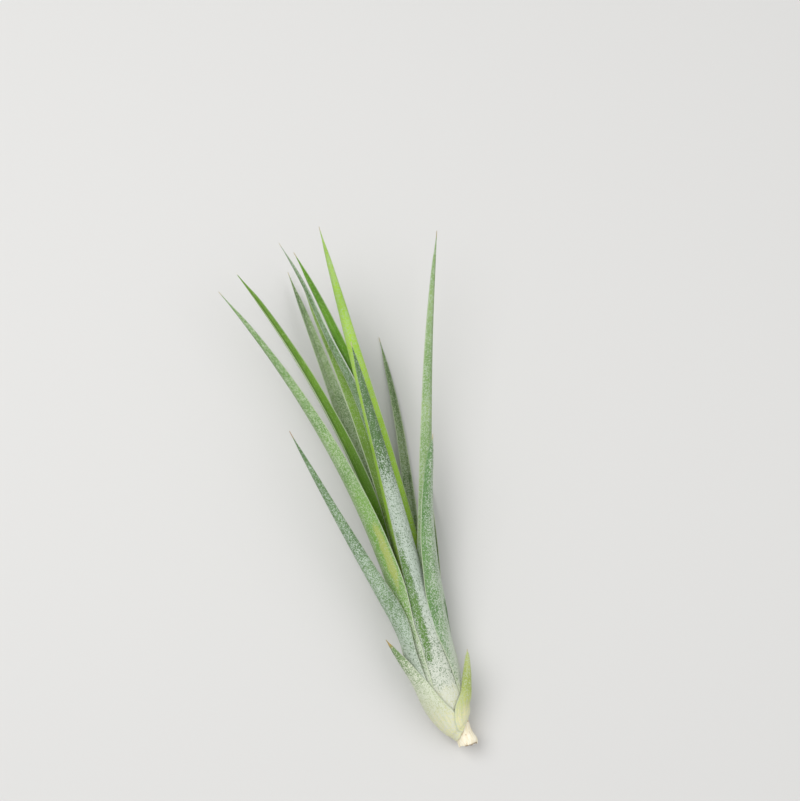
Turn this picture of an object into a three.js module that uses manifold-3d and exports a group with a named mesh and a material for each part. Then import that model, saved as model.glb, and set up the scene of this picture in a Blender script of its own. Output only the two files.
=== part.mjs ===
// An air plant, whole and as picked: a short stem and seventeen stiff, channelled leaves
// that grow from it in a spiral, each wrapping the next at its foot into a slim bulb.
// Millimetres. The plant grows along +Y from its cut end, with its right at +X and its front
// at +Z, and is then laid on its back on z = 0.
import * as THREE from 'three';
import { mergeVertices } from 'three/addons/utils/BufferGeometryUtils.js';
import Module from 'manifold-3d';

// The bulb that the leaf feet make together, by height above the cut end.
const BULB_FOOT = 4.6; // radius at the cut end
const BULB_RADIUS = 17.3; // radius that it swells towards
const BULB_SWELL = 28; // height that does most of the swelling
const LAYER = 0.87; // pitch of the leaves' layers, counted inwards

// The whole plant bows to the left just above its cut end.
const BOW = 4.4; // how far it would bow if the bow lasted
const BOW_START = 9; // height that does most of the bowing
const BOW_END = 100; // height over which it dies away again

// The stem inside it.
const STEM_RADIUS = 4.9;
const STEM_TIP_RADIUS = 0.8;
const STEM_HEIGHT = 64;
const STEM_CLEARANCE = 0.75; // from the stem to the middle of a leaf's foot
const STUB = 3; // how far the cut end stands out below the leaves
const STEM_SIDES = 24;
const STEM_STEP = 4; // height of one ring of the stem

// The leaf's section: an arc, thicker along its middle.
const LEAF_EDGE = 0.62; // thickness at the margins and in the foot
const LEAF_RIB = 0.95; // thickness along the middle of the blade
const FOOT_HALF_ANGLE = 1.5; // radians, the most that half a foot wraps round the stem
const FOOT_NARROWING = 14; // height in which a foot widens to its full arc
const TIP_HALF_WIDTH = 0.45;
const SEGMENTS_ACROSS = 6;
const SEGMENTS_ALONG = 22;
const STEPS_PER_SEGMENT = 4;

// How the plant lies: it rests on the foot of the lowest back leaf and on the tips of three longer ones.
const LIE_TILT = 5; // degrees that the upper end is raised
const LIE_ROLL = 0.76; // degrees turned about the stem's line
const FLAT_DEPTH = 0.2; // how much its lowest points are worn flat

// The leaves, from the outermost foot inwards. Angles are in degrees.
// clock: where the foot sits round the stem, from 0 at the front to 90 at the right
// face: where the outer side of the blade looks, counted the same way
// side, rise: how far the blade leans right and forward of the stem's line, foot and tip
// length: from foot to tip; clasp: height up to which the leaf hugs the bulb
// foot, blade: half the flattened width of each; taper: under 1 keeps the blade wide for longer
// fold: half the angle of the blade's channel
const LEAVES = [
  {
    name: 'leaf_02_base_right',
    color: 0xa9bb62,
    clock: 43,
    face: 352,
    side: [34, 16.5],
    rise: [1.5, 3],
    length: 41,
    clasp: 18,
    foot: 5.5,
    blade: 4.5,
    taper: 0.7,
    fold: 53,
  },
  {
    name: 'leaf_01_base_left',
    color: 0xb9c39a,
    clock: 315,
    face: 325,
    side: [-26, -18],
    rise: [6, 10],
    length: 57,
    clasp: 32,
    foot: 10,
    blade: 4.7,
    taper: 0.8,
    fold: 42,
  },
  {
    name: 'leaf_03_base_back',
    color: 0xb2bd8c,
    clock: 179,
    face: 179,
    side: [-4.5, -6.5],
    rise: [-5, -3],
    length: 58,
    clasp: 34,
    foot: 5,
    blade: 5,
    taper: 0.85,
    fold: 50,
  },
  {
    name: 'leaf_04_left_front',
    color: 0x9fb28a,
    clock: 321,
    face: 340,
    side: [-16, -10.5],
    rise: [4.5, 2],
    length: 164,
    clasp: 56,
    foot: 5,
    blade: 5.7,
    taper: 0.8,
    fold: 64,
  },
  {
    name: 'leaf_05_back_right',
    color: 0x8fa07a,
    clock: 115,
    face: 148,
    side: [13.5, 11],
    rise: [-9.5, -13],
    length: 132,
    clasp: 65,
    foot: 6.5,
    blade: 5.8,
    taper: 0.8,
    fold: 42,
  },
  {
    name: 'leaf_06_back_left',
    color: 0x8fa07a,
    clock: 234,
    face: 234,
    side: [5.5, -6.5],
    rise: [-8.5, -11.5],
    length: 138,
    clasp: 67,
    foot: 10,
    blade: 6.2,
    taper: 0.6,
    fold: 56,
  },
  {
    name: 'leaf_07_right_front',
    color: 0x9fb093,
    clock: 68,
    face: 36,
    side: [1.5, 23],
    rise: [13, 6.5],
    length: 134,
    clasp: 54,
    foot: 2.5,
    blade: 6.8,
    taper: 0.5,
    fold: 42,
  },
  {
    name: 'leaf_08_back',
    color: 0x6f8a66,
    clock: 157,
    face: 167,
    side: [17, 3.5],
    rise: [-6.5, -8],
    length: 188,
    clasp: 74,
    foot: 10,
    blade: 6.1,
    taper: 0.75,
    fold: 62,
  },
  {
    name: 'leaf_09_far_left',
    color: 0xa3b48f,
    clock: 303,
    face: 315,
    side: [0, -22.5],
    rise: [4, 0],
    length: 229,
    clasp: 79,
    foot: 3.5,
    blade: 7.2,
    taper: 0.75,
    fold: 53,
  },
  {
    name: 'leaf_12_front',
    color: 0xa9b8a1,
    clock: 20,
    face: 5,
    side: [1.5, 2.5],
    rise: [8, 6.5],
    length: 176,
    clasp: 72,
    foot: 8,
    blade: 6.2,
    taper: 0.65,
    fold: 58,
  },
  {
    name: 'leaf_11_back_left',
    color: 0x6e8a63,
    clock: 216,
    face: 209,
    side: [0, -2],
    rise: [-5.5, -8.5],
    length: 223,
    clasp: 88,
    foot: 10,
    blade: 8.1,
    taper: 0.7,
    fold: 43,
  },
  {
    name: 'leaf_10_far_right',
    color: 0xa2b492,
    clock: 55,
    face: 42,
    side: [14.5, 23.5],
    rise: [-0.5, 3],
    length: 219,
    clasp: 64,
    foot: 5.5,
    blade: 6.4,
    taper: 0.65,
    fold: 48,
  },
  {
    name: 'leaf_13_upper_back',
    color: 0x5f8f3c,
    clock: 146,
    face: 145,
    side: [9, -12],
    rise: [4, 1.5],
    length: 218,
    clasp: 66,
    foot: 7,
    blade: 6.8,
    taper: 0.6,
    fold: 43,
  },
  {
    name: 'leaf_14_upper_left',
    color: 0x6f9a45,
    clock: 281,
    face: 223,
    side: [0.6, -19.5],
    rise: [-3.7, -2],
    length: 216,
    clasp: 109,
    foot: 2.5,
    blade: 5.2,
    taper: 0.5,
    fold: 63,
  },
  {
    name: 'leaf_15_upper_front',
    color: 0x9fb77c,
    clock: 19,
    face: 341,
    side: [3.5, 3],
    rise: [5.5, 3],
    length: 213,
    clasp: 82,
    foot: 9,
    blade: 7.8,
    taper: 0.7,
    fold: 60,
  },
  {
    name: 'leaf_16_inner_back',
    color: 0x74a63c,
    clock: 162,
    face: 146,
    side: [3.2, -6.6],
    rise: [2.9, -3.1],
    length: 183,
    clasp: 78,
    foot: 9,
    blade: 5.3,
    taper: 0.5,
    fold: 42,
  },
  {
    name: 'leaf_17_inner_front',
    color: 0x7fa05e,
    clock: 329,
    face: 329,
    side: [10.5, -14.5],
    rise: [2, 0.5],
    length: 201,
    clasp: 80,
    foot: 10.5,
    blade: 6.4,
    taper: 0.7,
    fold: 60,
  },
];

const LEAF_ROUGHNESS = 0.75;
const STEM_ROUGHNESS = 0.85;
const FLOOR_BLOCK = 1000; // side of the block that wears the flat spots

const { lerp, degToRad, clamp } = THREE.MathUtils;
const ease = (x) => THREE.MathUtils.smoothstep(x, 0, 1);
const bulbRadius = (y) => lerp(BULB_FOOT, BULB_RADIUS, 1 - Math.exp(-y / BULB_SWELL));
const bulbSlope = (y) => ((BULB_RADIUS - BULB_FOOT) / BULB_SWELL) * Math.exp(-y / BULB_SWELL);
const stemRadius = (y) => lerp(STEM_RADIUS, STEM_TIP_RADIUS, y / STEM_HEIGHT);
const outward = (angle) => new THREE.Vector3(Math.sin(angle), 0, Math.cos(angle));

// Moves a grown point sideways with the plant's bow.
function bow(point) {
  const begun = 1 - Math.exp(-Math.max(point.y, 0) / BOW_START);
  point.x -= BOW * begun * Math.exp(-((point.y / BOW_END) ** 2));
  return point;
}

// The lowest height at which a layer has room round the stem.
function footHeight(order) {
  let y = 3;
  const room = () => bulbRadius(y) - LAYER * order - stemRadius(y);
  while (room() < STEM_CLEARANCE && y < STEM_HEIGHT) y += 0.25;
  return y;
}

// One station of a leaf: where its middle line is, which way it grows, its inner side, its
// width and the curvature of its section.
function station(leaf, along, middle, hug) {
  const clock = degToRad(leaf.clock);
  const free = ease((along - 0.55 * hug.length) / (0.9 * hug.length));
  const reach = clamp((along - 0.55 * hug.length) / (leaf.length - 0.55 * hug.length), 0, 1);
  const spread = outward(clock).multiplyScalar(bulbSlope(middle.y));
  const leanRight = Math.tan(degToRad(lerp(leaf.side[0], leaf.side[1], reach)));
  const leanFront = Math.tan(degToRad(lerp(leaf.rise[0], leaf.rise[1], reach)));
  const growth = new THREE.Vector3(
    lerp(spread.x, leanRight, free),
    1,
    lerp(spread.z, leanFront, free),
  ).normalize();

  const turn = THREE.MathUtils.euclideanModulo(leaf.face - leaf.clock + 180, 360) - 180;
  const outer = outward(clock + degToRad(turn) * free);
  const inner = outer.addScaledVector(growth, -outer.dot(growth)).normalize().negate();
  const across = new THREE.Vector3().crossVectors(growth, inner);

  const taper = clamp((along - hug.length) / (leaf.length - hug.length), 0, 1);
  const blade = leaf.blade * (1 - taper) ** leaf.taper;
  const foot = leaf.foot * lerp(0.6, 1, ease(along / FOOT_NARROWING));
  const width = Math.max(lerp(foot, blade, ease(along / (1.15 * hug.length))), TIP_HALF_WIDTH);
  const hugging = 1 / Math.max(hug.radius + bulbRadius(middle.y) - bulbRadius(hug.height), 2);
  const folded = degToRad(leaf.fold) / Math.max(blade, TIP_HALF_WIDTH);
  const curvature = lerp(hugging, folded, ease((along - 0.5 * hug.length) / (0.8 * hug.length)));
  const part = along / leaf.length;
  return { middle: middle.clone(), growth, inner, across, width, curvature, part };
}

// Follows a leaf's middle line from its foot to its tip.
function stations(leaf) {
  const height = footHeight(leaf.order);
  const radius = bulbRadius(height) - LAYER * leaf.order;
  const hug = { height, radius, length: Math.max(leaf.clasp - height, 6) };
  const middle = outward(degToRad(leaf.clock)).multiplyScalar(radius).setY(height);
  const step = leaf.length / (SEGMENTS_ALONG * STEPS_PER_SEGMENT);
  const found = [];
  for (let i = 0; i <= SEGMENTS_ALONG * STEPS_PER_SEGMENT; i++) {
    const here = station(leaf, i * step, middle, hug);
    if (i % STEPS_PER_SEGMENT === 0) found.push(here);
    middle.addScaledVector(here.growth, step);
  }
  return found;
}

// A point of a leaf: u runs across it from -1 to 1, and level is 1 on the inner side and -1
// on the outer one.
function leafPoint(at, u, level) {
  const half = Math.min(at.width * at.curvature, FOOT_HALF_ANGLE);
  const radius = 1 / at.curvature;
  const angle = half * u;
  const normal = at.inner.clone().multiplyScalar(Math.cos(angle));
  normal.addScaledVector(at.across, -Math.sin(angle));
  const ribbed = ease((at.part - 0.15) / 0.25) * Math.min(at.width / 3, 1) * (1 - u * u);
  const thickness = lerp(LEAF_EDGE, LEAF_RIB, ribbed);
  return at.middle
    .clone()
    .addScaledVector(at.inner, radius * (1 - Math.cos(angle)))
    .addScaledVector(at.across, radius * Math.sin(angle))
    .addScaledVector(normal, (level * thickness) / 2);
}

// A box of the right division, bent into the leaf.
function leafGeometry(leaf) {
  const along = stations(leaf);
  const geometry = new THREE.BoxGeometry(2, 2, 2, SEGMENTS_ACROSS, SEGMENTS_ALONG, 1);
  const place = geometry.getAttribute('position');
  for (let i = 0; i < place.count; i++) {
    const row = Math.round(((place.getY(i) + 1) / 2) * SEGMENTS_ALONG);
    const point = bow(leafPoint(along[row], place.getX(i), place.getZ(i)));
    place.setXYZ(i, point.x, point.y, point.z);
  }
  return weld(geometry);
}

// A tapering round stem with its cut end a little bevelled.
function stemGeometry() {
  const profile = [
    [0, -STUB],
    [STEM_RADIUS - 0.6, -STUB],
    [STEM_RADIUS, -STUB + 0.7],
    [STEM_RADIUS, 0],
  ];
  for (let y = STEM_STEP; y <= STEM_HEIGHT; y += STEM_STEP) profile.push([stemRadius(y), y]);
  profile.push([0, STEM_HEIGHT]);
  const points = profile.map(([r, y]) => new THREE.Vector2(r, y));
  const geometry = new THREE.LatheGeometry(points, STEM_SIDES);
  const place = geometry.getAttribute('position');
  for (let i = 0; i < place.count; i++) {
    const point = bow(new THREE.Vector3().fromBufferAttribute(place, i));
    place.setXYZ(i, point.x, point.y, point.z);
  }
  return weld(geometry);
}

function weld(geometry) {
  geometry.deleteAttribute('normal');
  geometry.deleteAttribute('uv');
  return mergeVertices(geometry, 1e-4);
}

function mesh(name, geometry, color, roughness) {
  const material = new THREE.MeshStandardMaterial({ color, roughness, metalness: 0 });
  const made = new THREE.Mesh(geometry, material);
  made.name = name;
  return made;
}

const wasm = await Module();
wasm.setup();

function solidOf(geometry) {
  const vertProperties = geometry.getAttribute('position').array;
  return new wasm.Manifold(
    new wasm.Mesh({ numProp: 3, vertProperties, triVerts: Uint32Array.from(geometry.index.array) }),
  );
}

function geometryOf(solid) {
  const { vertProperties, triVerts } = solid.getMesh();
  const geometry = new THREE.BufferGeometry();
  geometry.setAttribute('position', new THREE.BufferAttribute(vertProperties, 3));
  geometry.setIndex(new THREE.BufferAttribute(triVerts, 1));
  return geometry;
}

// Takes off what a piece has below the floor.
function wearFlat(piece, floor) {
  if (new THREE.Box3().setFromObject(piece, true).min.z >= floor) return;
  const block = new THREE.BoxGeometry(FLOOR_BLOCK, FLOOR_BLOCK, FLOOR_BLOCK);
  block.translate(0, 0, floor - FLOOR_BLOCK / 2);
  block.applyMatrix4(piece.matrixWorld.clone().invert());
  piece.geometry = geometryOf(solidOf(piece.geometry).subtract(solidOf(weld(block))));
}

// Turns the grown plant onto its back, wears its lowest points flat and puts the middle of
// its footprint at the origin.
function layDown(plant) {
  plant.rotation.set(degToRad(LIE_TILT), degToRad(LIE_ROLL), 0);
  plant.updateMatrixWorld(true);
  const floor = new THREE.Box3().setFromObject(plant, true).min.z + FLAT_DEPTH;
  for (const piece of plant.children) wearFlat(piece, floor);
  const box = new THREE.Box3().setFromObject(plant, true);
  const middle = box.getCenter(new THREE.Vector3());
  plant.position.set(-middle.x, -middle.y, -floor);
}

const plant = new THREE.Group();
plant.add(mesh('stem', stemGeometry(), 0xd9ceae, STEM_ROUGHNESS));
for (const [order, leaf] of LEAVES.entries()) {
  plant.add(mesh(leaf.name, leafGeometry({ ...leaf, order }), leaf.color, LEAF_ROUGHNESS));
}
layDown(plant);

const part = new THREE.Group();
part.add(plant);
export default part;
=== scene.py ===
# Air plant, as picked, lying on its back. Its shapes are worked out in millimetres on the upright
# plant, with y up from the foot and z to the front, and are then laid down in metres.
import math

import bpy
from mathutils import Matrix, Vector, noise


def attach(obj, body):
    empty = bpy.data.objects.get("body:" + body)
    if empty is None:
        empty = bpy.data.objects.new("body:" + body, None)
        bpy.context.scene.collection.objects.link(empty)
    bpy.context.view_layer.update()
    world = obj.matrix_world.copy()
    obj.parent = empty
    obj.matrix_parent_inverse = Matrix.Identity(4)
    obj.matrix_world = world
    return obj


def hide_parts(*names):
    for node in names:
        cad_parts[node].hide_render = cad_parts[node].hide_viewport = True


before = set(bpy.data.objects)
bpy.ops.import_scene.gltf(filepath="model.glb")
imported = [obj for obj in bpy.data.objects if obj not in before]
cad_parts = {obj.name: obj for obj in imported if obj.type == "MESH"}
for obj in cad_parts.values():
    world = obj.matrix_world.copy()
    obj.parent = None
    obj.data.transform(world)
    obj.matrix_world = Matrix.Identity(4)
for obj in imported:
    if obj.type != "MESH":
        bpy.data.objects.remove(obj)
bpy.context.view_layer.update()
print("frame loaded:", len(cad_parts), "nodes")

mm = 0.001

# how the upright plant is turned onto its back and set down, in degrees and millimetres
lying = {
    "tilt": 5,
    "roll": 0.76,
    "place": (-10.898, -127.128, 8.921),
    "clear": 0.35,  # the soft back gives way to this height above the surface
    "give": 0.5,
}
layDown = (
    Matrix.Translation(Vector(lying["place"]) * mm)
    @ Matrix.Rotation(math.radians(lying["tilt"]), 4, "X")
    @ Matrix.Rotation(math.radians(lying["roll"]), 4, "Y")
)

# the slim bulb that the leaf feet wrap, in millimetres
bulb = {
    "foot": 4.6,  # its radius at the foot
    "radius": 17.3,  # the radius it swells to
    "swell": 28,
    "layer": 0.87,  # from each leaf foot to the next one inside it
    "tight": 0.16,  # what is left of that at the foot, where the sheaths are pressed together
    "tightStart": 12,
    "tightEnd": 82,
    "softness": 1.2,
    "bow": 4.4,  # how far the whole plant bows to the left, and between which heights
    "bowStart": 9,
    "bowEnd": 100,
}

# the stem inside it, in millimetres
stem = {
    "radius": 4.9,
    "tip": 0.8,
    "height": 64,
    "stub": 3.4,  # what stands out below the leaves
    "clearance": 0.75,
    "fuller": 2.4,  # how much fuller it is on its bare side, at which height and how far up and down
    "fullerAt": 10,
    "fullerOver": 6,
}


def lerp(a, b, t):
    return a + (b - a) * t


def clamp01(t):
    return max(0.0, min(1.0, t))


def ease(t):
    t = clamp01(t)
    return t * t * (3 - 2 * t)


def bell(away):  # 1 at 0, next to nothing beyond 2 on both sides
    return math.exp(-(away ** 2))


def softCorner(value):  # next to nothing below 0, the value itself above 0, rounded off between
    far = 8
    return value if value > far else math.log1p(math.exp(value))


def outward(degrees):
    return Vector((math.sin(math.radians(degrees)), 0, math.cos(math.radians(degrees))))


def bulbRadius(y):
    return lerp(bulb["foot"], bulb["radius"], 1 - math.exp(-y / bulb["swell"]))


def bulbSlope(y):
    return (bulb["radius"] - bulb["foot"]) / bulb["swell"] * math.exp(-y / bulb["swell"])


def stemRadius(y):
    return lerp(stem["radius"], stem["tip"], y / stem["height"])


# How much fuller the stem is on its bare side, by the height and the sine of the direction
def stemSide(y, sine):
    return stem["fuller"] * bell((y - stem["fullerAt"]) / stem["fullerOver"]) * (0.5 + 0.5 * sine)


def tightness(y):
    return lerp(bulb["tight"], 1, ease((y - bulb["tightStart"]) / (bulb["tightEnd"] - bulb["tightStart"])))


# Presses the sheaths together under the outermost one, more so towards the foot
def tighten(point):
    reach = math.hypot(point.x, point.z)
    skin = bulbRadius(max(point.y, 0))
    inside = bulb["softness"] * softCorner((skin - reach) / bulb["softness"])
    pushed = (reach + (1 - tightness(point.y)) * inside) / reach
    return Vector((point.x * pushed, point.y, point.z * pushed))


# Bows a point with the whole plant, lays it down and keeps it above the surface; gives metres
def place(point):
    leaving = 1 - math.exp(-max(point.y, 0) / bulb["bowStart"])
    bow = -bulb["bow"] * leaving * bell(point.y / bulb["bowEnd"])
    settled = layDown @ (Vector((point.x + bow, point.y, point.z)) * mm)
    above = (settled.z / mm - lying["clear"]) / lying["give"]
    settled.z = (lying["clear"] + lying["give"] * softCorner(above)) * mm
    return settled


def pickNothing():
    if bpy.context.object and bpy.context.object.mode != "OBJECT":
        bpy.ops.object.mode_set(mode="OBJECT")
    bpy.ops.object.select_all(action="DESELECT")


def pickOnly(piece):
    pickNothing()
    piece.select_set(True)
    bpy.context.view_layer.objects.active = piece


def applyModifier(piece, kind, settings):
    pickOnly(piece)
    modifier = piece.modifiers.new(kind.title(), kind)
    for key, value in settings.items():
        setattr(modifier, key, value)
    bpy.ops.object.modifier_apply(modifier=modifier.name)


def outsideOut(piece):
    pickOnly(piece)
    bpy.ops.object.mode_set(mode="EDIT")
    bpy.ops.mesh.select_all(action="SELECT")
    bpy.ops.mesh.normals_make_consistent(inside=False)
    bpy.ops.object.mode_set(mode="OBJECT")
    bpy.ops.object.shade_smooth()


class Wire:  # one output of a node; sums on it add Math nodes
    def __init__(self, paint, socket):
        self.paint = paint
        self.socket = socket

    def other(self, out):
        return Wire(self.paint, self.socket.node.outputs[out])

    def maths(self, operation, a, b):
        return self.paint.node("ShaderNodeMath", {"operation": operation}, {0: a, 1: b})

    def __add__(self, other):
        return self.maths("ADD", self, other)

    def __radd__(self, other):
        return self.maths("ADD", other, self)

    def __sub__(self, other):
        return self.maths("SUBTRACT", self, other)

    def __rsub__(self, other):
        return self.maths("SUBTRACT", other, self)

    def __mul__(self, other):
        return self.maths("MULTIPLY", self, other)

    def __rmul__(self, other):
        return self.maths("MULTIPLY", other, self)

    def __truediv__(self, other):
        return self.maths("DIVIDE", self, other)

    def __rtruediv__(self, other):
        return self.maths("DIVIDE", other, self)


class Paint:  # a material while it is being mixed
    def __init__(self, name):
        self.material = bpy.data.materials.new(name)
        self.material.use_nodes = True
        self.tree = self.material.node_tree
        self.shader = self.tree.nodes["Principled BSDF"]

    def node(self, kind, settings=None, sockets=None, out=0):
        made = self.tree.nodes.new(kind)
        for key, value in (settings or {}).items():
            setattr(made, key, value)
        for key, value in (sockets or {}).items():
            if isinstance(value, Wire):
                self.tree.links.new(value.socket, made.inputs[key])
            elif isinstance(value, tuple) and made.inputs[key].type == "RGBA":
                made.inputs[key].default_value = (*value, 1)
            else:
                made.inputs[key].default_value = value
        return Wire(self, made.outputs[out])

    def mix(self, factor, a, b):
        return self.node("ShaderNodeMix", {"data_type": "RGBA"}, {0: factor, 6: a, 7: b}, 2)

    def band(self, value, low, high):  # 0 at low, 1 at high, soft between
        settings = {"interpolation_type": "SMOOTHSTEP"}
        return self.node("ShaderNodeMapRange", settings, {0: value, 1: low, 2: high})

    def noise(self, vector, scale, detail):
        return self.node("ShaderNodeTexNoise", None, {"Vector": vector, "Scale": scale, "Detail": detail})

    def cells(self, vector, scale):  # small cells, each with its own chance from 0 to 1
        sockets = {"Vector": vector, "Scale": scale}
        return self.split(self.node("ShaderNodeTexVoronoi", None, sockets, "Color"))[0]

    def stretch(self, vector, times):
        return self.node("ShaderNodeVectorMath", {"operation": "MULTIPLY"}, {0: vector, 1: times})

    def split(self, vector):
        x = self.node("ShaderNodeSeparateXYZ", None, {0: vector})
        return x, x.other(1)

    def join(self, x, y):
        return self.node("ShaderNodeCombineXYZ", None, {0: x, 1: y})

    def bump(self, strength, distance, height):
        sockets = {"Strength": strength, "Distance": distance, "Height": height}
        self.plug("Normal", self.node("ShaderNodeBump", None, sockets))

    def plug(self, socket, value):
        if isinstance(value, Wire):
            self.tree.links.new(value.socket, self.shader.inputs[socket])
        else:
            self.shader.inputs[socket].default_value = value


# The leaves from the outermost inwards. clock and face: degrees round the stem from the front, at the foot
# and higher up; side and rise: lean in degrees where the blade leaves the bulb and at its tip; length, clasp
# (how far it hugs the bulb), foot and blade (half widths): millimetres; taper: how full it stays towards the
# tip; fold: degrees.
# reach: how many times its width a leaf reaches to the right and to the left, below one run; above the other
# it has its own width again. sways: sidesteps of the blade to the left, seen from outside. tuck: a margin
# pressed in towards the leaf under it, -1 for the right one. at, over and by: where, how far along and how
# deep, in millimetres.
leaves = {
    "leaf_02_base_right": {
        "clock": 43, "face": 352, "side": (34, 16.5), "rise": (1.5, 3),
        "length": 41, "clasp": 18, "foot": 5.5, "blade": 4.5, "taper": 0.7, "fold": 53,
        "reach": {"right": 1.35, "left": 1.7, "from": 0, "until": 15},
    },
    "leaf_01_base_left": {
        "clock": 315, "face": 325, "side": (-26, -18), "rise": (6, 10),
        "length": 57, "clasp": 32, "foot": 10, "blade": 4.7, "taper": 0.8, "fold": 42,
    },
    "leaf_03_base_back": {
        "clock": 179, "face": 179, "side": (-4.5, -6.5), "rise": (-5, -3),
        "length": 58, "clasp": 34, "foot": 5, "blade": 5, "taper": 0.85, "fold": 50,
    },
    "leaf_04_left_front": {
        "clock": 321, "face": 340, "side": (-16, -10.5), "rise": (4.5, 2),
        "length": 164, "clasp": 56, "foot": 5, "blade": 5.7, "taper": 0.8, "fold": 64,
        "reach": {"right": 0.38, "left": 1.0, "from": 38, "until": 66},
        "tuck": {"side": -1, "at": 48, "over": 26, "by": 1.5},
    },
    "leaf_05_back_right": {
        "clock": 115, "face": 148, "side": (13.5, 11), "rise": (-9.5, -13),
        "length": 132, "clasp": 65, "foot": 6.5, "blade": 5.8, "taper": 0.8, "fold": 42,
        "reach": {"right": 1.0, "left": 0.35, "from": 40, "until": 120},
    },
    "leaf_06_back_left": {
        "clock": 234, "face": 234, "side": (5.5, -6.5), "rise": (-8.5, -11.5),
        "length": 138, "clasp": 67, "foot": 10, "blade": 6.2, "taper": 0.6, "fold": 56,
    },
    "leaf_07_right_front": {
        "clock": 68, "face": 36, "side": (1.5, 23), "rise": (13, 6.5),
        "length": 134, "clasp": 54, "foot": 2.5, "blade": 6.8, "taper": 0.5, "fold": 42,
        "reach": {"right": 1.8, "left": 1.0, "from": 0, "until": 70},
        "sways": [{"at": 96, "over": 26, "by": 1.0}, {"at": 46, "over": 15, "by": -0.9}],
        "tuck": {"side": 1, "at": 44, "over": 28, "by": 0.6},
    },
    "leaf_08_back": {
        "clock": 157, "face": 167, "side": (17, 3.5), "rise": (-6.5, -8),
        "length": 188, "clasp": 74, "foot": 10, "blade": 6.1, "taper": 0.75, "fold": 62,
        "reach": {"right": 1.0, "left": 0.5, "from": 120, "until": 170},
    },
    "leaf_09_far_left": {
        "clock": 303, "face": 315, "side": (0, -22.5), "rise": (4, 0),
        "length": 229, "clasp": 79, "foot": 3.5, "blade": 7.2, "taper": 0.75, "fold": 53,
        "reach": {"right": 1.2, "left": 1.0, "from": 26, "until": 40},
    },
    "leaf_12_front": {
        "clock": 20, "face": 5, "side": (1.5, 2.5), "rise": (8, 6.5),
        "length": 176, "clasp": 72, "foot": 8, "blade": 6.2, "taper": 0.65, "fold": 58,
    },
    "leaf_11_back_left": {
        "clock": 216, "face": 209, "side": (0, -2), "rise": (-5.5, -8.5),
        "length": 223, "clasp": 88, "foot": 10, "blade": 8.1, "taper": 0.7, "fold": 43,
        "reach": {"right": 1.0, "left": 1.7, "from": 90, "until": 140},
    },
    "leaf_10_far_right": {
        "clock": 55, "face": 42, "side": (14.5, 23.5), "rise": (-0.5, 3),
        "length": 219, "clasp": 64, "foot": 5.5, "blade": 6.4, "taper": 0.65, "fold": 48,
        "sways": [{"at": 110, "over": 40, "by": -0.5}],
    },
    "leaf_13_upper_back": {
        "clock": 146, "face": 145, "side": (9, -12), "rise": (4, 1.5),
        "length": 218, "clasp": 66, "foot": 7, "blade": 6.8, "taper": 0.6, "fold": 43,
    },
    "leaf_14_upper_left": {
        "clock": 281, "face": 223, "side": (0.6, -19.5), "rise": (-3.7, -2),
        "length": 216, "clasp": 109, "foot": 2.5, "blade": 5.2, "taper": 0.5, "fold": 63,
    },
    "leaf_15_upper_front": {
        "clock": 19, "face": 341, "side": (3.5, 3), "rise": (5.5, 3),
        "length": 213, "clasp": 82, "foot": 9, "blade": 7.8, "taper": 0.7, "fold": 60,
        "reach": {"right": 1.6, "left": 1.0, "from": 0, "until": 190},
    },
    "leaf_16_inner_back": {
        "clock": 162, "face": 146, "side": (3.2, -6.6), "rise": (2.9, -3.1),
        "length": 183, "clasp": 78, "foot": 9, "blade": 5.3, "taper": 0.5, "fold": 42,
    },
    "leaf_17_inner_front": {
        "clock": 329, "face": 329, "side": (10.5, -14.5), "rise": (2, 0.5),
        "length": 201, "clasp": 80, "foot": 10.5, "blade": 6.4, "taper": 0.7, "fold": 60,
        "reach": {"right": 0.7, "left": 0.8, "from": 150, "until": 290},
        "sways": [{"at": 148, "over": 24, "by": 2.0}],
    },
}

# how every leaf leaves the bulb
growth = {
    "leaves": 0.55,  # shares of the stretch that hugs the bulb
    "leavesOver": 0.9,
    "folds": 0.5,
    "foldsOver": 0.8,
    "widens": 1.15,
    "footStart": 0.6,  # share of the foot's width at its very end
    "footGrows": 14,  # from here on millimetres
    "narrowest": 0.45,
    "shortestHug": 6,
    "lowestFoot": 3.0,
    "footStep": 0.25,
    "tightestCurl": 2,
}


# The lowest height at which the stem leaves room for the leaf's layer
def footHeightOf(order):
    height = growth["lowestFoot"]
    while height < stem["height"]:
        if bulbRadius(height) - bulb["layer"] * order - stemRadius(height) >= stem["clearance"]:
            break
        height += growth["footStep"]
    return height


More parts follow.
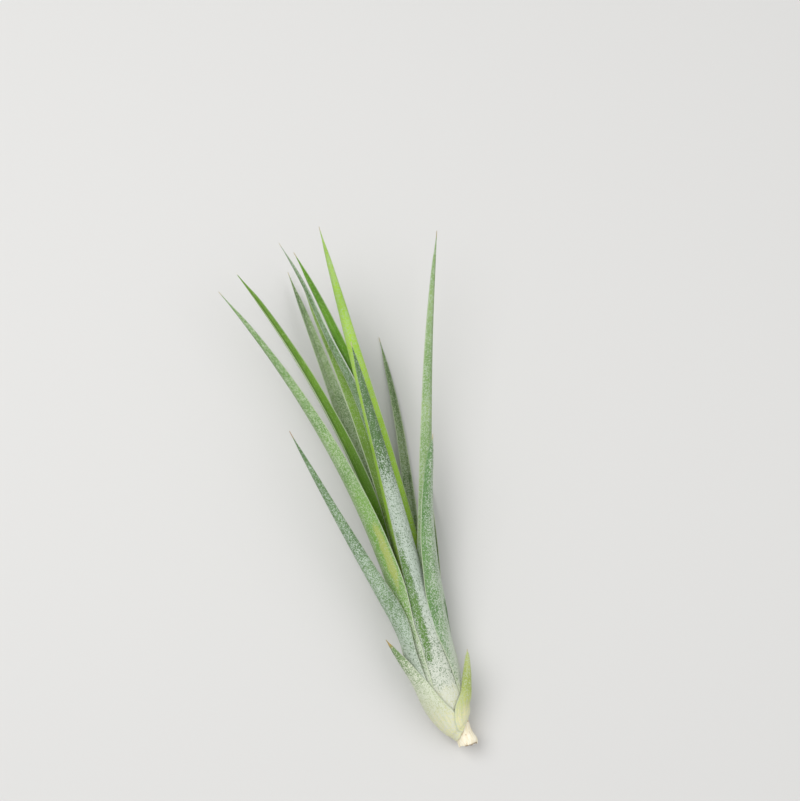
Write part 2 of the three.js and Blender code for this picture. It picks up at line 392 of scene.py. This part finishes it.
# Walks up a leaf from its foot and gives the middle line, the width and the curl of every row
def leafRows(shape, order):
    footHeight = footHeightOf(order)
    footRadius = bulbRadius(footHeight) - bulb["layer"] * order
    hug = max(shape["clasp"] - footHeight, growth["shortestHug"])
    leaving = growth["leaves"] * hug
    length, clock = shape["length"], shape["clock"]
    middle = outward(clock) * footRadius
    middle.y = footHeight
    step = length / leafMesh["along"]
    turn = (shape["face"] - clock + 180) % 360 - 180
    result = []
    for row in range(leafMesh["along"] + 1):
        along = row * step
        free = ease((along - leaving) / (growth["leavesOver"] * hug))
        reach = clamp01((along - leaving) / (length - leaving))
        spread = outward(clock) * bulbSlope(middle.y)
        leanRight = math.tan(math.radians(lerp(*shape["side"], reach)))
        leanFront = math.tan(math.radians(lerp(*shape["rise"], reach)))
        direction = Vector((lerp(spread.x, leanRight, free), 1, lerp(spread.z, leanFront, free))).normalized()
        outer = outward(clock + turn * free)
        inner = -(outer - direction * outer.dot(direction)).normalized()
        blade = shape["blade"] * (1 - clamp01((along - hug) / (length - hug))) ** shape["taper"]
        foot = shape["foot"] * lerp(growth["footStart"], 1, ease(along / growth["footGrows"]))
        width = lerp(foot, blade, ease(along / (growth["widens"] * hug)))
        hugging = footRadius + bulbRadius(middle.y) - bulbRadius(footHeight)
        folded = math.radians(shape["fold"]) / max(blade, growth["narrowest"])
        folding = ease((along - growth["folds"] * hug) / (growth["foldsOver"] * hug))
        result.append({
            "middle": middle.copy(),
            "inner": inner,
            "across": direction.cross(inner),
            "width": max(width, growth["narrowest"]),
            "curl": lerp(1 / max(hugging, growth["tightestCurl"]), folded, folding),
            "part": along / length,
            "free": free,
        })
        middle += direction * step
    return result


# how the lowest sheaths end on the stub, in millimetres
sheathEnd = {
    "left": 0.3,  # height of the end on the left and on the right
    "right": 9.5,
    "swing": 1.6,
    "trim": 18,  # height up to which the sheaths are moved
    "press": 1.8,
    "gap": 0.25,  # between the stub and the sheath on it, and the share of what was between them
    "share": 0.12,
}


# Lifts the lowest stretch of the sheaths to their slanting end and presses it onto the stub there
def trimFoot(point):
    if point.y > sheathEnd["trim"]:
        return point
    reach = math.hypot(point.x, point.z)
    right = (0.5 + 0.5 * point.x / reach) ** sheathEnd["swing"]
    end = lerp(sheathEnd["left"], sheathEnd["right"], right)
    y = point.y + end * (1 - point.y / sheathEnd["trim"])
    skin = reach + bulbRadius(max(y, 0)) - bulbRadius(max(point.y, 0))
    press = math.exp(-max(y - end, 0) / sheathEnd["press"])
    core = stemRadius(max(y, 0)) + stemSide(y, point.x / reach)
    pressed = core + sheathEnd["gap"] + sheathEnd["share"] * max(skin - core, 0)
    wanted = lerp(skin, pressed, press)
    return Vector((point.x * wanted / reach, y, point.z * wanted / reach))


# one leaf's mesh, and its shape in detail
leafMesh = {
    "across": 14,  # faces
    "along": 88,
    "below": 8,  # more rows of faces, down between the neighbours
    "mostCurl": 1.5,  # radians from the middle to a margin
    "footNarrows": 0.72,
    "footRagged": 0.5,  # how uneven its lower edge is, millimetres, and how fine its teeth are
    "footTeeth": 6,
    "footLayer": 0.35,  # how much higher each foot ends than the one outside it, millimetres
    "stemGap": 0.1,
    "footRun": 8,  # length of the rows below on the map, millimetres
    "needle": 0.34,  # width left at the tip, and the share of the leaf that narrows to it
    "needlePart": 0.08,
    "ripple": 0.03,  # how much the width changes along the leaf, and how often
    "ripples": 9,
    "wave": 0.16,  # how far the margins wave in and out, millimetres
    "groove": 0.3,  # depth in millimetres, and width
    "grooveWidth": 0.16,
    "seed": 7.3,  # steps in the noise from leaf to leaf
    "footSeed": 3.7,
}
# thickness of a leaf, millimetres
thickness = {
    "middle": 0.9,
    "margin": 0.24,
    "sheath": 0.3,
    "foot": 0.12,
    "tip": 0.22,
    "tipPart": 0.12,  # share of the leaf that thins to the tip
    "fullWidth": 3,  # a narrower blade is thinner too
}


# Where one point of a leaf lies: u runs from -1, its right margin as seen from outside, to 1
def leafPoint(row, u, shape, order):
    run = max(row["part"], 0) * shape["length"]
    if "reach" in shape:
        reach = shape["reach"]
        back = ease((run - reach["from"]) / (reach["until"] - reach["from"]))
        u *= lerp(reach["right" if u < 0 else "left"], 1, back)
    if row["part"] < 0:  # the thin foot, down between its neighbours
        low = row["lowest"]
        half = min(low["width"] * low["curl"], leafMesh["mostCurl"])
        half *= lerp(1, leafMesh["footNarrows"], row["down"])
        teeth = Vector((u * leafMesh["footTeeth"], order * leafMesh["footSeed"], 2))
        ragged = leafMesh["footRagged"] * noise.noise(teeth)
        y = lerp(low["middle"].y, leafMesh["footLayer"] * order + ragged, row["down"])
        out = max(bulbRadius(y) - tightness(y) * bulb["layer"] * order, stemRadius(y) + leafMesh["stemGap"])
        point = outward(shape["clock"] - math.degrees(half * u)) * out
        point.y = y
        return trimFoot(point)
    needle = lerp(1, leafMesh["needle"], ease((row["part"] - 1) / leafMesh["needlePart"] + 1))
    margin = 1 if u > 0 else 4  # each margin ripples by itself
    along = Vector((row["part"] * leafMesh["ripples"], order * leafMesh["seed"], margin))
    ripple = noise.noise(along) * row["free"]
    half = min(row["width"] * row["curl"], leafMesh["mostCurl"]) * needle * (1 + leafMesh["ripple"] * ripple)
    radius = 1 / row["curl"]
    angle = half * u
    groove = leafMesh["groove"] * row["free"] * needle * bell(u / leafMesh["grooveWidth"])
    wave = leafMesh["wave"] * ripple * u ** 4
    point = row["middle"] + row["inner"] * (radius * (1 - math.cos(angle)) - groove + wave)
    point += row["across"] * (radius * math.sin(angle))
    for sway in shape.get("sways", []):
        point += row["across"] * (sway["by"] * bell((run - sway["at"]) / sway["over"]))
    point = trimFoot(tighten(point))
    if "tuck" in shape:
        tuck = shape["tuck"]
        depth = tuck["by"] * bell((run - tuck["at"]) / tuck["over"]) * ease(tuck["side"] * u)
        shrink = 1 - depth / max(math.hypot(point.x, point.z), 1)
        point = Vector((point.x * shrink, point.y, point.z * shrink))
    return point


# How thick the leaf is there, in millimetres
def fleshAt(row, u):
    blade = (1 - u ** 4) * min(row["width"] / thickness["fullWidth"], 1)
    thick = lerp(thickness["sheath"], lerp(thickness["margin"], thickness["middle"], blade), row["free"])
    if row["part"] < 0:
        return lerp(thick, thickness["foot"], row["down"])
    return lerp(thick, thickness["tip"], ease((row["part"] - 1) / thickness["tipPart"] + 1))


def makeLeaf(name, shape, order):
    upper = leafRows(shape, order)
    rows = []
    for level in range(leafMesh["below"]):
        down = 1 - level / leafMesh["below"]
        rows.append({"part": -1, "down": down, "lowest": upper[0], "free": 0, "width": upper[0]["width"]})
    rows += upper
    across, along = leafMesh["across"], len(rows) - 1
    pickNothing()
    bpy.ops.mesh.primitive_grid_add(x_subdivisions=across, y_subdivisions=along, size=1)
    piece = bpy.context.object
    piece.name = piece.data.name = name.replace("leaf_", "blade_")
    mesh = piece.data
    flesh = piece.vertex_groups.new(name="flesh")
    seats = []
    for vertex in mesh.vertices:
        u = round((vertex.co.x + 0.5) * across) * 2 / across - 1
        row = rows[round((vertex.co.y + 0.5) * along)]
        seats.append((u, row))
        flesh.add([vertex.index], fleshAt(row, u) / thickness["middle"], "REPLACE")
        vertex.co = place(leafPoint(row, u, shape, order))
    sizes = mesh.uv_layers.new(name="millimetres")  # x: distance from the nearer margin, y: from the foot
    for loop in mesh.loops:
        u, row = seats[loop.vertex_index]
        run = row["part"] * shape["length"] if row["part"] >= 0 else -row["down"] * leafMesh["footRun"]
        sizes.data[loop.index].uv = ((1 - abs(u)) * row["width"], run)
    for slot in range(3):  # inner face, outer face and rim, told apart by their slot
        mesh.materials.append(None)
    walls = {"thickness": thickness["middle"] * mm, "offset": 0, "vertex_group": "flesh"}
    applyModifier(piece, "SOLIDIFY", {**walls, "material_offset": 1, "material_offset_rim": 2})
    applyModifier(piece, "SUBSURF", {"levels": 1, "render_levels": 1})
    outsideOut(piece)
    side = mesh.attributes.new("side", "FLOAT", "FACE")  # 0 on the inner face, 1 on the outer
    for face in mesh.polygons:
        side.data[face.index].value = (0, 1, 0.5)[face.material_index]
        face.material_index = 0
    mesh.materials.clear()
    return piece


# What every leaf's skin starts from; its own dictionary changes what is different on it.
# outer, inner: dark and light ground green of each face; outerSilver, innerSilver: how densely the scales
# cover it at the foot, halfway and at the tip, and fade: the parts of the leaf between which the tip's cover
# takes over; lean: how much denser they get towards the left margin; scale, grain: their colour and contrast;
# margin, edge: colour and width of the pale margin; pale, cream: run of the pale foot and how pale it is;
# dry, dryColour: run of the dry tip; spots: patches, at and size give the place across and the run.
# Runs and widths are millimetres.
commonSkin = {
    "outer": ((0.11, 0.2, 0.065), (0.18, 0.3, 0.1)),
    "inner": ((0.12, 0.24, 0.05), (0.19, 0.34, 0.07)),
    "outerSilver": (0.85, 0.55, 0.4),
    "innerSilver": (0.5, 0.25, 0.15),
    "fade": (0.55, 0.95),
    "lean": 0.0,
    "scale": (0.46, 0.56, 0.4),
    "grain": 1.3,
    "margin": (0.58, 0.64, 0.46),
    "edge": 0.55,
    "pale": 16,
    "cream": 1.0,
    "dry": 3.5,
    "dryColour": (0.55, 0.49, 0.33),
    "spots": [],
}
# the young inner leaves: bright, saturated greens with few scales, partly their own fresh colour and partly
# painted light shining through the thin blades
youngGreenLitThrough = {
    "outer": ((0.15, 0.3, 0.035), (0.22, 0.42, 0.045)),
    "inner": ((0.08, 0.225, 0.006), (0.12, 0.31, 0.008)),
    "outerSilver": (0.4, 0.3, 0.35),
    "innerSilver": (0.2, 0.04, 0.12),
    "scale": (0.32, 0.46, 0.17),
}
# the two back leaves: greyer, darker greens, partly their own colour and partly painted shade where they lie
# behind the others
backGreenWithPaintedShade = {
    "outer": ((0.1, 0.18, 0.06), (0.16, 0.26, 0.09)),
    "inner": ((0.11, 0.19, 0.06), (0.18, 0.28, 0.09)),
    "outerSilver": (0.7, 0.5, 0.35),
    "innerSilver": (0.45, 0.55, 0.35),
    "scale": (0.42, 0.5, 0.33),
}
skins = {
    "leaf_01_base_left": {
        "outer": ((0.12, 0.23, 0.06), (0.22, 0.34, 0.1)),
        "outerSilver": (0.5, 0.75, 0.2),
        "scale": (0.7, 0.73, 0.58),
        "grain": 1.35,
        "pale": 32,
        "dry": 6,
        "dryColour": (0.42, 0.3, 0.09),
    },
    "leaf_02_base_right": {
        "outer": ((0.3, 0.38, 0.06), (0.46, 0.53, 0.11)),
        "outerSilver": (0.25, 0.35, 0.6),
        "grain": 1.6,
        "scale": (0.52, 0.58, 0.38),
        "pale": 24,
        "dry": 2,
    },
    "leaf_04_left_front": {
        "outer": ((0.085, 0.17, 0.055), (0.13, 0.24, 0.08)),
        "outerSilver": (1.15, 0.45, 0.2),
        "scale": (0.5, 0.58, 0.49),
        "dry": 6,
        "dryColour": (0.42, 0.28, 0.16),
    },
    "leaf_07_right_front": {
        "outer": ((0.085, 0.2, 0.05), (0.14, 0.28, 0.08)),
        # denser, whiter scales towards the right margin: partly its own cover and partly painted light on
        # that side, which turns away from the lamps
        "outerSilver": (1.15, 0.5, 0.4),
        "lean": -0.85,
        "scale": (0.56, 0.62, 0.52),
        "spots": [
            {"at": (0.25, 44), "size": (0.13, 11), "much": 0.95, "bare": 0.95, "colour": (0.06, 0.16, 0.03)},
        ],
    },
    # denser silver: painted light lifting the narrow strip of this leaf that shows, shaded, beside the right
    # front leaf
    "leaf_05_back_right": {"outerSilver": (1.0, 0.7, 0.4)},
    "leaf_08_back": backGreenWithPaintedShade,
    "leaf_09_far_left": {
        "outer": ((0.12, 0.25, 0.05), (0.18, 0.33, 0.075)),
        "outerSilver": (0.75, 0.42, 0.5),
        "scale": (0.44, 0.54, 0.35),
        "spots": [
            {"at": (0.24, 76), "size": (0.16, 19), "much": 0.85, "bare": 0.85, "colour": (0.76, 0.58, 0.22)},
            {"at": (0.3, 70), "size": (0.5, 44), "much": 0.65, "bare": 0.6, "colour": (0.16, 0.33, 0.045)},
        ],
    },
    "leaf_10_far_right": {
        "outer": ((0.18, 0.32, 0.09), (0.26, 0.4, 0.12)),
        "outerSilver": (0.8, 0.45, 0.4),
        "dry": 5,
        "dryColour": (0.45, 0.36, 0.2),
    },
    "leaf_11_back_left": backGreenWithPaintedShade,
    "leaf_12_front": {
        # a dark ground green, partly its own colour and partly painted shade where the blade faces away from
        # the light
        "outer": ((0.063, 0.135, 0.038), (0.097, 0.19, 0.057)),
        "outerSilver": (0.85, 0.92, 0.02),
        "scale": (0.53, 0.6, 0.52),
        "grain": 1.6,
        "fade": (0.56, 0.78),
        "pale": 5,
        "cream": 0.75,
        "spots": [
            {"at": (0.8, 54), "size": (0.22, 26), "much": 0.9, "bare": 0.95, "colour": (0.1, 0.21, 0.035)},
            {"at": (0.72, 32), "size": (0.12, 18), "much": 0.9, "bare": 0.95, "colour": (0.1, 0.21, 0.035)},
        ],
    },
    "leaf_13_upper_back": youngGreenLitThrough,
    "leaf_14_upper_left": {
        **youngGreenLitThrough,
        "inner": ((0.09, 0.205, 0.01), (0.13, 0.275, 0.013)),
        "dry": 2.5,
        "dryColour": (0.78, 0.76, 0.68),
    },
    "leaf_15_upper_front": {
        **youngGreenLitThrough,
        # a brighter outer green, partly its own colour and partly painted light where the blade lies in
        # shadow and is lit through
        "outer": ((0.26, 0.47, 0.025), (0.35, 0.57, 0.05)),
        "outerSilver": (0.3, 0.12, 0.4),
        "scale": (0.42, 0.56, 0.3),
    },
    "leaf_16_inner_back": {
        **youngGreenLitThrough,
        # a brighter inner green, partly its own colour and partly painted light shining through the blade
        "inner": ((0.115, 0.22, 0.016), (0.16, 0.3, 0.024)),
        "innerSilver": (0.2, 0.12, 0.3),
        "scale": (0.38, 0.48, 0.25),
    },
    "leaf_17_inner_front": {
        **youngGreenLitThrough,
        # a dark outer green, partly its own colour and partly painted shade on the face that lies in shade
        "outer": ((0.07, 0.15, 0.03), (0.11, 0.21, 0.045)),
        "outerSilver": (0.4, 0.5, 0.35),
        "scale": (0.32, 0.42, 0.3),
        "margin": (0.82, 0.86, 0.78),
        "edge": 1.3,
    },
}

# patterns of the skin, the same on every leaf: how often each repeats in a metre, or across a leaf
pattern = {
    "detail": 3.0,
    "blotch": 42.0,
    "patch": 190.0,
    "flake": 2600.0,
    "dust": 4800.0,
    "longer": (1.0, 0.75, 1.0),
    "streaks": 26,
    "streakLength": 0.035,
    "veins": 170,
}
# how strongly they show: share of each in the cover, the ground and the edges of patches
weight = {
    "patch": 0.4,
    "blotch": 0.35,
    "streak": 0.35,
    "flake": 0.6,
    "dust": 0.4,
    "lightStreak": 0.3,
    "spotEdge": 0.8,
    "spotDust": 0.3,
    "creamEdge": 8,  # millimetres, as the next two
    "creamStreak": 12,
    "dryEdge": 3,
    "scales": 0.9,
    "margin": 0.75,
    "veinRelief": 0.2,
    "streakRelief": 0.5,
}
# where one thing turns into the next: on the patterns, on the part of the leaf, or as a share of a run
limits = {
    "tone": (0.35, 0.65),
    "streak": (0.35, 0.75),
    "halfway": (0.08, 0.5),
    "spot": (1.1, 0.6),
    "cover": (0.12, 0.88),
    "creamTone": (0.3, 0.7),
    "footScale": 0.35,
    "marginInner": 0.36,
    "marginFade": (0.75, 0.92),
    "marginLoss": 0.7,
    "creamStart": 0.1,
    "dryEnd": 0.4,
}
footColours = {"cream": (0.86, 0.8, 0.48), "green": (0.7, 0.72, 0.34), "scale": (0.7, 0.72, 0.62)}
skinFinish = {
    "roughness": 0.5,
    "scalyRoughness": 0.3,  # added where scales cover it, and where it is dry
    "dryRoughness": 0.15,
    "bump": 0.6,
    "depth": 0.00012,
    "specular": 0.3,
    "sheen": 0.08,
    "sheenRoughness": 0.45,
}


def leafSkin(name, look, shape):
    paint = Paint(name + "_skin")
    spot = paint.node("ShaderNodeTexCoord", out="Object")
    u, v = paint.split(paint.node("ShaderNodeUVMap", {"uv_map": "UVMap"}))
    rim, run = paint.split(paint.node("ShaderNodeUVMap", {"uv_map": "millimetres"}))
    side = paint.node("ShaderNodeAttribute", {"attribute_name": "side"}, out="Fac")
    blotch = paint.noise(spot, pattern["blotch"], pattern["detail"])
    patchy = paint.noise(spot, pattern["patch"], pattern["detail"])
    drawn = paint.join(u * pattern["streaks"], run * pattern["streakLength"])
    streak = paint.noise(drawn, 1.0, pattern["detail"])
    # silvery scales, each with its own chance, the more so where the cover is dense
    long = paint.stretch(spot, pattern["longer"])
    flake = paint.cells(long, pattern["flake"])
    dust = paint.cells(long, pattern["dust"])
    foot, middle, tip = [
        inner + side * (outer - inner) for outer, inner in zip(look["outerSilver"], look["innerSilver"])
    ]
    dense = foot + (middle - foot) * paint.band(v, *limits["halfway"])
    dense = dense + (tip - middle) * paint.band(v, *look["fade"]) + (u - 0.5) * look["lean"]
    dense = dense + (patchy - 0.5) * weight["patch"] + (blotch - 0.5) * weight["blotch"]
    dense = dense + (streak - 0.5) * weight["streak"]
    tone = paint.band(blotch, *limits["tone"])
    ground = paint.mix(side, paint.mix(tone, *look["inner"]), paint.mix(tone, *look["outer"]))
    light = paint.band(streak, *limits["streak"]) * weight["lightStreak"]
    ground = paint.mix(light, ground, look["outer"][1])
    for patch in look["spots"]:
        away = paint.join((u - patch["at"][0]) / patch["size"][0], (run - patch["at"][1]) / patch["size"][1])
        far = paint.node("ShaderNodeVectorMath", {"operation": "LENGTH"}, {0: away}, "Value")
        far = far + (patchy - 0.5) * weight["spotEdge"] + (dust - 0.5) * weight["spotDust"]
        mask = paint.band(far, *limits["spot"]) * patch["much"] * side
        ground = paint.mix(mask, ground, patch["colour"])
        dense = dense * (1 - mask * patch["bare"])
    chance = flake * weight["flake"] + dust * weight["dust"] - 0.5
    cover = paint.band(dense + chance * look["grain"], *limits["cover"])
    paleRun = run + (patchy - 0.5) * weight["creamEdge"] + (streak - 0.5) * weight["creamStreak"]
    cream = 1 - paint.band(paleRun, look["pale"] * limits["creamStart"], look["pale"])
    footTone = paint.mix(paint.band(streak, *limits["creamTone"]), footColours["cream"], footColours["green"])
    ground = paint.mix(cream * look["cream"], ground, footTone)
    higher = paint.band(run, 0.0, limits["footScale"] * shape["length"])
    scale = paint.mix(higher, footColours["scale"], look["scale"])
    colour = paint.mix(cover * weight["scales"], ground, scale)
    margin = paint.band(rim, look["edge"], limits["marginInner"] * look["edge"])
    margin = margin * (1 - limits["marginLoss"] * paint.band(v, *limits["marginFade"]))
    colour = paint.mix(margin * weight["margin"], colour, look["margin"])
    dryRun = run + (patchy - 0.5) * weight["dryEdge"]
    end = shape["length"]
    dry = paint.band(dryRun, end - look["dry"], end - look["dry"] * limits["dryEnd"])
    paint.plug("Base Color", paint.mix(dry, colour, look["dryColour"]))
    rough = skinFinish["roughness"] + cover * skinFinish["scalyRoughness"] + dry * skinFinish["dryRoughness"]
    paint.plug("Roughness", rough)
    vein = paint.node("ShaderNodeMath", {"operation": "SINE"}, {0: u * pattern["veins"]})
    relief = cover + vein * weight["veinRelief"] + streak * weight["streakRelief"]
    paint.bump(skinFinish["bump"], skinFinish["depth"], relief)
    paint.plug("Specular IOR Level", skinFinish["specular"])
    paint.plug("Sheen Weight", skinFinish["sheen"])
    paint.plug("Sheen Roughness", skinFinish["sheenRoughness"])
    return paint.material


for order, (name, shape) in enumerate(leaves.items()):
    piece = makeLeaf(name, shape, order)
    piece.data.materials.append(leafSkin(name, {**commonSkin, **skins.get(name, {})}, shape))
    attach(piece, "root")
    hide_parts(name)
print("leaves made:", len(leaves))

# the stem: a dry stub with a torn, hollow cut end, hidden higher up by the sheaths; millimetres
stub = {
    "sides": 64,
    "rings": 30,
    "crowding": 2.2,  # how much closer the rings stand at the cut end
    "slant": 0.9,
    "torn": 0.8,
    "tears": 2.2,
    "seed": 5,
    "flare": 0.5,
    "flareBack": 1.3,
    "slim": 0.97,
    "fibre": 0.14,
    "fibres": 7,  # how fine they are round the stem and along it
    "fibreLength": 0.12,
    "smoothFibre": 0.4,  # share of the fibres' height that is left up the stem
    "cutFace": ((0.25, 0.0), (0.9, 0.15), (0.7, 1.1), (1.2, 0.35), (1.0, -0.3)),  # insets and their depths
    "cutNormal": -0.9,  # the cut face looks down the plant
    "sharp": 50,  # edges above so many degrees stay sharp
}


def stemPoint(point):
    angle = math.atan2(point.x, point.z)
    sine, cosine = math.sin(angle), math.cos(angle)
    along = point.y
    reach = math.hypot(point.x, point.z) / stem["radius"]
    fibre = noise.noise(Vector((sine * stub["fibres"], cosine * stub["fibres"], along * stub["fibreLength"])))
    torn = noise.noise(Vector((sine * stub["tears"] + stub["seed"], cosine * stub["tears"], 1)))
    low = clamp01(-along / stem["stub"])  # 1 at the cut end
    along += low * (stub["slant"] * (0.5 - 0.5 * sine) + stub["torn"] * torn * reach)
    flare = stub["flare"] * low * (1 - stub["flareBack"] * low) * (1 + sine)
    wide = stemRadius(max(along, 0)) * stub["slim"] + flare + stemSide(along, sine)
    wide += stub["fibre"] * fibre * lerp(stub["smoothFibre"], 1, low)
    return Vector((sine * wide * reach, along, cosine * wide * reach))


pickNothing()
tall = stem["height"] + stem["stub"]
bpy.ops.mesh.primitive_cylinder_add(
    vertices=stub["sides"],
    radius=stem["radius"],
    depth=tall,
    location=(0, tall / 2 - stem["stub"], 0),
    rotation=(math.radians(90), 0, 0),
)
stemPiece = bpy.context.object
stemPiece.name = stemPiece.data.name = "cut_stem"
bpy.ops.object.transform_apply(location=True, rotation=True, scale=True)
bpy.ops.object.mode_set(mode="EDIT")
for ring in range(1, stub["rings"]):
    bpy.ops.mesh.select_all(action="SELECT")
    height = -stem["stub"] + tall * (ring / stub["rings"]) ** stub["crowding"]
    bpy.ops.mesh.bisect(plane_co=(0, height, 0), plane_no=(0, 1, 0))
bpy.ops.mesh.select_all(action="DESELECT")
bpy.ops.object.mode_set(mode="OBJECT")
for face in stemPiece.data.polygons:
    face.select = face.normal.y < stub["cutNormal"]
bpy.ops.object.mode_set(mode="EDIT")
bpy.ops.mesh.select_mode(type="FACE")
for inset, sink in stub["cutFace"]:
    bpy.ops.mesh.inset(thickness=inset)
    bpy.ops.transform.translate(value=(0, sink, 0))
bpy.ops.object.mode_set(mode="OBJECT")
for vertex in stemPiece.data.vertices:
    vertex.co = place(stemPoint(vertex.co))
outsideOut(stemPiece)
bpy.ops.object.shade_smooth_by_angle(angle=math.radians(stub["sharp"]))

# wood of the stub; the cut edge and the stains are browner
stemLook = {
    "fibres": 1500.0,
    "fibreLength": (1.0, 0.16, 1.0),
    "stains": 330.0,
    "detail": 4.0,
    "wood": ((0.84, 0.74, 0.5), (0.96, 0.91, 0.75)),
    "woodTone": (0.3, 0.7),
    "stain": (0.5, 0.3, 0.13),
    "stainTone": (0.55, 0.72),
    "edge": (0.16, 0.08, 0.035),
    "edgeTone": (0.48, 0.58),
    "edgeFrom": -0.1297,  # metres along the laid plant
    "edgeTo": -0.1305,
    "roughness": 0.75,
    "bump": 0.7,
    "depth": 0.0003,
}
stemSkin = Paint("cut_stem_skin")
spot = stemSkin.node("ShaderNodeTexCoord", out="Object")
long = stemSkin.stretch(spot, stemLook["fibreLength"])
fibres = stemSkin.noise(long, stemLook["fibres"], stemLook["detail"])
stain = stemSkin.noise(spot, stemLook["stains"], stemLook["detail"])
colour = stemSkin.mix(stemSkin.band(fibres, *stemLook["woodTone"]), *stemLook["wood"])
colour = stemSkin.mix(stemSkin.band(stain, *stemLook["stainTone"]), colour, stemLook["stain"])
cut = stemSkin.band(stemSkin.split(spot)[1], stemLook["edgeFrom"], stemLook["edgeTo"])
colour = stemSkin.mix(cut * stemSkin.band(stain, *stemLook["edgeTone"]), colour, stemLook["edge"])
stemSkin.plug("Base Color", colour)
stemSkin.plug("Roughness", stemLook["roughness"])
stemSkin.bump(stemLook["bump"], stemLook["depth"], fibres)
stemPiece.data.materials.clear()
stemPiece.data.materials.append(stemSkin.material)
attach(stemPiece, "root")
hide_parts("stem")
print("stem made")

floorLook = {"size": 8, "colour": (0.66, 0.65, 0.63, 1), "roughness": 0.85}
pickNothing()
bpy.ops.mesh.primitive_plane_add(size=floorLook["size"], location=(0, 0, 0))
floor = bpy.context.object
floor.name = floor.data.name = "floor"
floorSkin = Paint("floor_paint")
floorSkin.plug("Base Color", floorLook["colour"])
floorSkin.plug("Roughness", floorLook["roughness"])
floor.data.materials.append(floorSkin.material)

# where the photographed view stands, measured on the upright plant
photoView = {
    "distance": 1100.0,  # millimetres
    "scale": 0.485,  # millimetres for each picture point at the plant
    "elevation": 76.0,  # degrees
    "swing": 19.0,
    "rise": 8.0,
    "foot": (466.5, 739.0),  # where the foot stands in the picture
    "frame": (800, 801),
    "sensor": 36,
    "clip": (0.05, 20),
}


def aimCamera():
    wide, high = photoView["frame"]
    focal = photoView["distance"] / photoView["scale"]
    up = math.radians(photoView["elevation"])
    swing = math.radians(photoView["swing"])
    flat = Vector((math.sin(swing), math.cos(swing), 0))
    right = Vector((math.cos(swing), -math.sin(swing), 0))
    look = flat * math.cos(up) - Vector((0, 0, math.sin(up)))
    above = flat * math.sin(up) + Vector((0, 0, math.cos(up)))
    footX = (photoView["foot"][0] - wide / 2) / focal
    footY = -(photoView["foot"][1] - high / 2) / focal
    spot = -photoView["distance"] * (look + footX * right + footY * above)
    settle = layDown @ Matrix.Rotation(math.radians(-photoView["rise"]), 4, "X")
    turned = settle.to_3x3()
    axes = Matrix((turned @ right, turned @ above, turned @ -look)).transposed()
    camera = bpy.data.objects.new("camera", bpy.data.cameras.new("camera"))
    bpy.context.scene.collection.objects.link(camera)
    camera.matrix_world = Matrix.Translation(settle @ (spot * mm)) @ axes.to_4x4()
    camera.data.sensor_fit = "HORIZONTAL"
    camera.data.sensor_width = photoView["sensor"]
    camera.data.lens = focal * photoView["sensor"] / wide
    camera.data.clip_start, camera.data.clip_end = photoView["clip"]
    bpy.context.scene.camera = camera


aimCamera()

lamps = {
    "key": {"spot": (-0.45, 0.3, 1.1), "size": 1.0, "power": 9.5},
    "fill": {"spot": (0.75, -0.35, 1.1), "size": 1.3, "power": 6.0},
}
for name, lamp in lamps.items():
    light = bpy.data.lights.new(name, "AREA")
    light.shape = "DISK"
    light.size = lamp["size"]
    light.energy = lamp["power"]
    holder = bpy.data.objects.new(name, light)
    bpy.context.scene.collection.objects.link(holder)
    holder.location = lamp["spot"]
    holder.rotation_euler = (-Vector(lamp["spot"])).to_track_quat("-Z", "Y").to_euler()

air = {"colour": (0.95, 0.97, 1.0, 1), "strength": 0.5}
world = bpy.data.worlds.new("studio")
world.use_nodes = True
world.node_tree.nodes["Background"].inputs["Color"].default_value = air["colour"]
world.node_tree.nodes["Background"].inputs["Strength"].default_value = air["strength"]
bpy.context.scene.world = world
bpy.context.scene.view_settings.view_transform = "Standard"
print("floor, light and camera set")
